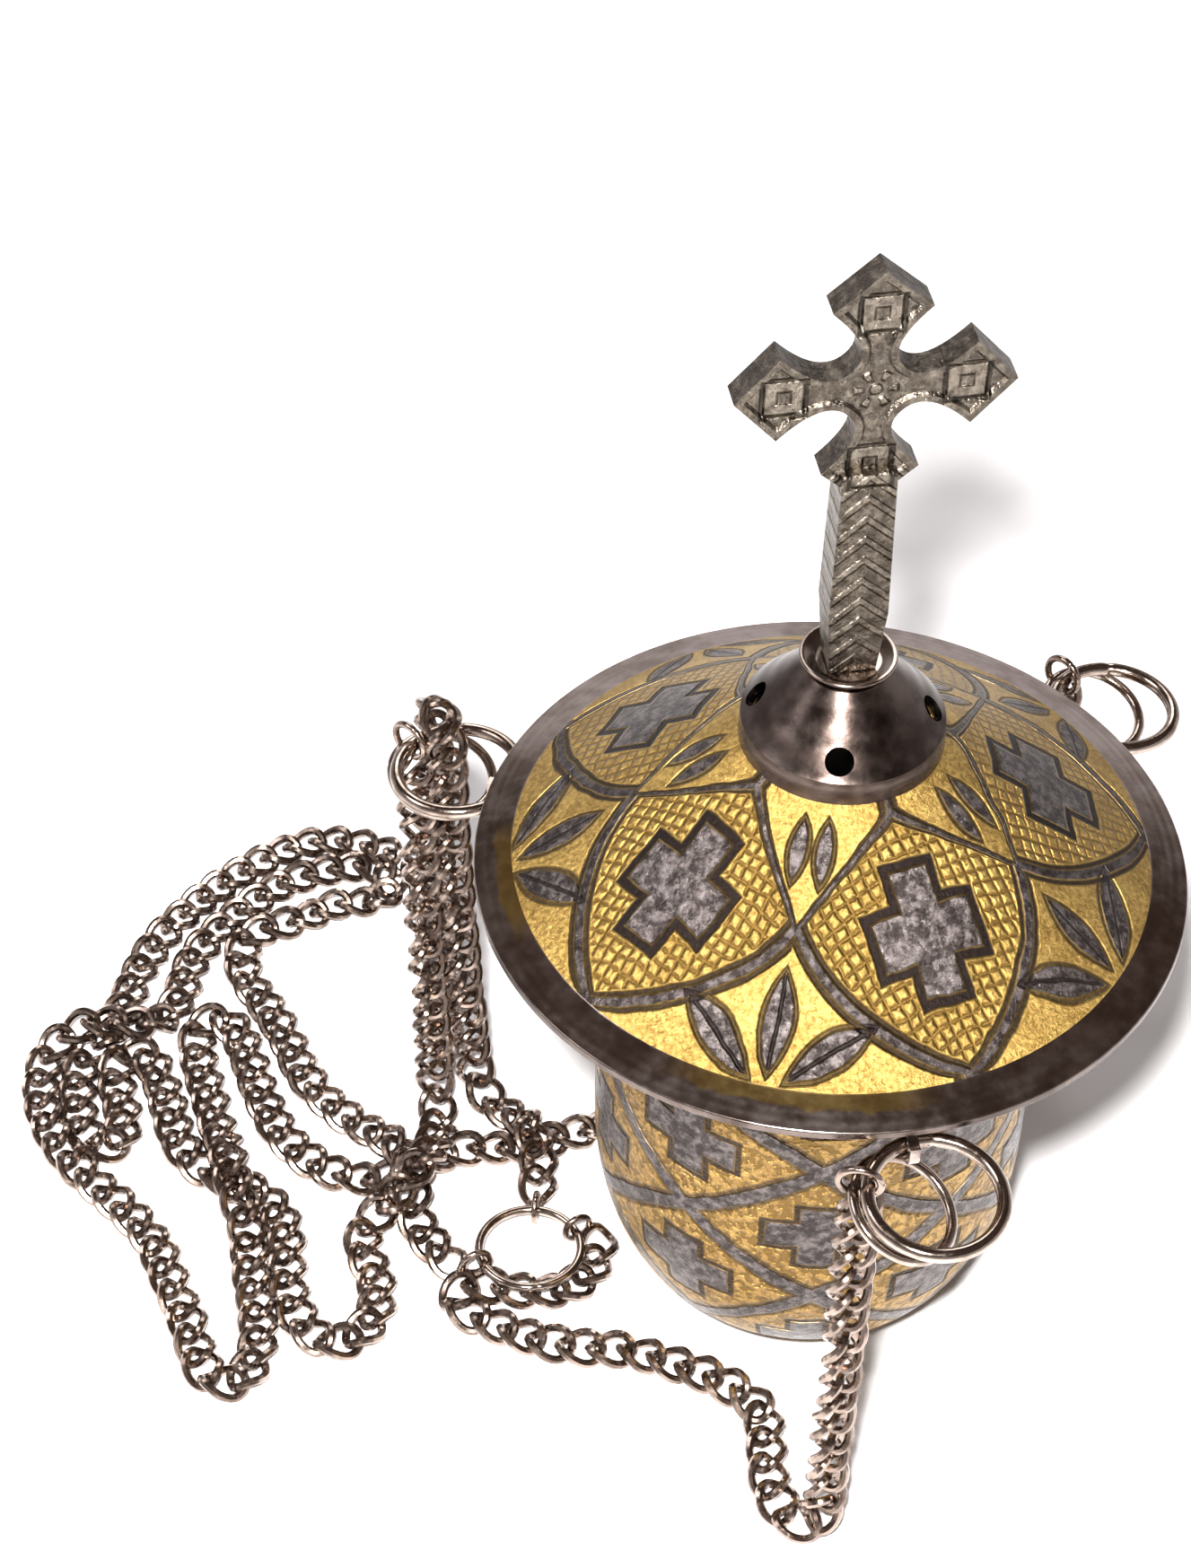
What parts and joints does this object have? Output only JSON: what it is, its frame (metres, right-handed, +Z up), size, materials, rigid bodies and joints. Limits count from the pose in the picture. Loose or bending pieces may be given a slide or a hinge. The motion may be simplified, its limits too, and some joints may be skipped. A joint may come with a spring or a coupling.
{
  "type": "thurible censer",
  "caption": "Hanging incense censer: footed bowl with chased flange, lifting cone lid with smoke vents and a cast cross, loose carrying rings and curb chains gathered in a hanging ring.",
  "frame": {"origin": "centre of the foot's flat underside, on the table", "axes": "+Z up along the bowl's axis to the top of the cross; -Y is the front, towards the front lug and the face of the cross"},
  "size_m": [0.1761, 0.1641, 0.1864],
  "materials": {
    "bright_nickel": "nickel-plated, polished",
    "cast_nickel": "nickel-plated casting, satin",
    "chain_nickel": "nickel-plated wire",
    "dark_nickel": "dark nickel plate over turning lines",
    "gilt_bowl": "gilded, chased relief left pewter-coloured",
    "gilt_lid": "gilded, chased relief left pewter-coloured",
    "rim_nickel": "nickel-plated, polished",
    "ring_nickel": "nickel-plated wire",
    "steel": "plain steel"
  },
  "bodies": {
    "bowl": {"bowl": "gilt_bowl", "bowl_foot": "gilt_bowl", "bowl_flange": "rim_nickel", "lug_front": "rim_nickel", "lug_right": "rim_nickel", "lug_left": "rim_nickel", "chain_front": "chain_nickel", "chain_right": "chain_nickel", "chain_left": "chain_nickel", "ring_link_1": "chain_nickel", "ring_link_2": "chain_nickel"},
    "lid": {"lid": "gilt_lid", "lid_locating_ring": "gilt_lid", "smoke_cone": "dark_nickel", "stem_collar": "bright_nickel", "cross": "cast_nickel", "cross_stud": "steel", "stud_washer": "steel", "stud_nut": "steel"},
    "pan": {"charcoal_pan": "steel"},
    "thick_ring_front": {"thick_ring_front": "ring_nickel", "end_link_front": "chain_nickel"},
    "thin_ring_front": {"thin_ring_front": "ring_nickel"},
    "thick_ring_right": {"thick_ring_right": "ring_nickel", "end_link_right": "chain_nickel"},
    "thin_ring_right": {"thin_ring_right": "ring_nickel"},
    "thick_ring_left": {"thick_ring_left": "ring_nickel", "end_link_left": "chain_nickel"},
    "thin_ring_left": {"thin_ring_left": "ring_nickel"},
    "hanging_ring": {"hanging_ring": "ring_nickel", "ring_link_3": "chain_nickel"}
  },
  "joints": [
    {"name": "lid_lift", "type": "slide", "parent": "bowl", "child": "lid", "axis": [0, 0, 1], "range_m": [0, 0.13]},
    {"name": "pan_lift", "type": "slide", "parent": "bowl", "child": "pan", "axis": [0, 0, 1], "range_m": [0, 0.052]},
    {"name": "front_ring_swing", "type": "hinge", "parent": "bowl", "child": "thick_ring_front", "pos_m": [0, -0.0486, 0.07985], "axis": [0.9877, 0.1564, 0], "range_deg": [-20, 75], "deforming": ["chain_front"]},
    {"name": "front_thin_ring_tip", "type": "hinge", "parent": "thick_ring_front", "child": "thin_ring_front", "pos_m": [-0.00858, -0.05339, 0.07843], "axis": [0.3591, 0.9289, 0.0905], "range_deg": [0, 25]},
    {"name": "right_ring_swing", "type": "hinge", "parent": "bowl", "child": "thick_ring_right", "pos_m": [0.04209, 0.0243, 0.07985], "axis": [-0.4384, 0.8988, 0], "range_deg": [-20, 75], "deforming": ["chain_right"]},
    {"name": "right_thin_ring_tip", "type": "hinge", "parent": "thick_ring_right", "child": "thin_ring_right", "pos_m": [0.04403, 0.03698, 0.07841], "axis": [0.8278, 0.5586, -0.0518], "range_deg": [0, 30]},
    {"name": "left_ring_swing", "type": "hinge", "parent": "bowl", "child": "thick_ring_left", "pos_m": [-0.04209, 0.0243, 0.07985], "axis": [-0.7193, -0.6947, 0], "range_deg": [-20, 75], "deforming": ["chain_left"]},
    {"name": "left_thin_ring_tip", "type": "hinge", "parent": "thick_ring_left", "child": "thin_ring_left", "pos_m": [-0.05474, 0.039, 0.07777], "axis": [0.7879, 0.6158, 0.0055], "range_deg": [0, 15]},
    {"name": "hanging_ring_raise", "type": "hinge", "parent": "bowl", "child": "hanging_ring", "pos_m": [-0.03708, 0.0065, 0.0033], "axis": [-0.7314, 0.682, 0], "range_deg": [0, 45]}
  ],
  "couplings": [
    {"joint": "pan_lift", "follows": "lid_lift", "ratio": 0.4}
  ]
}
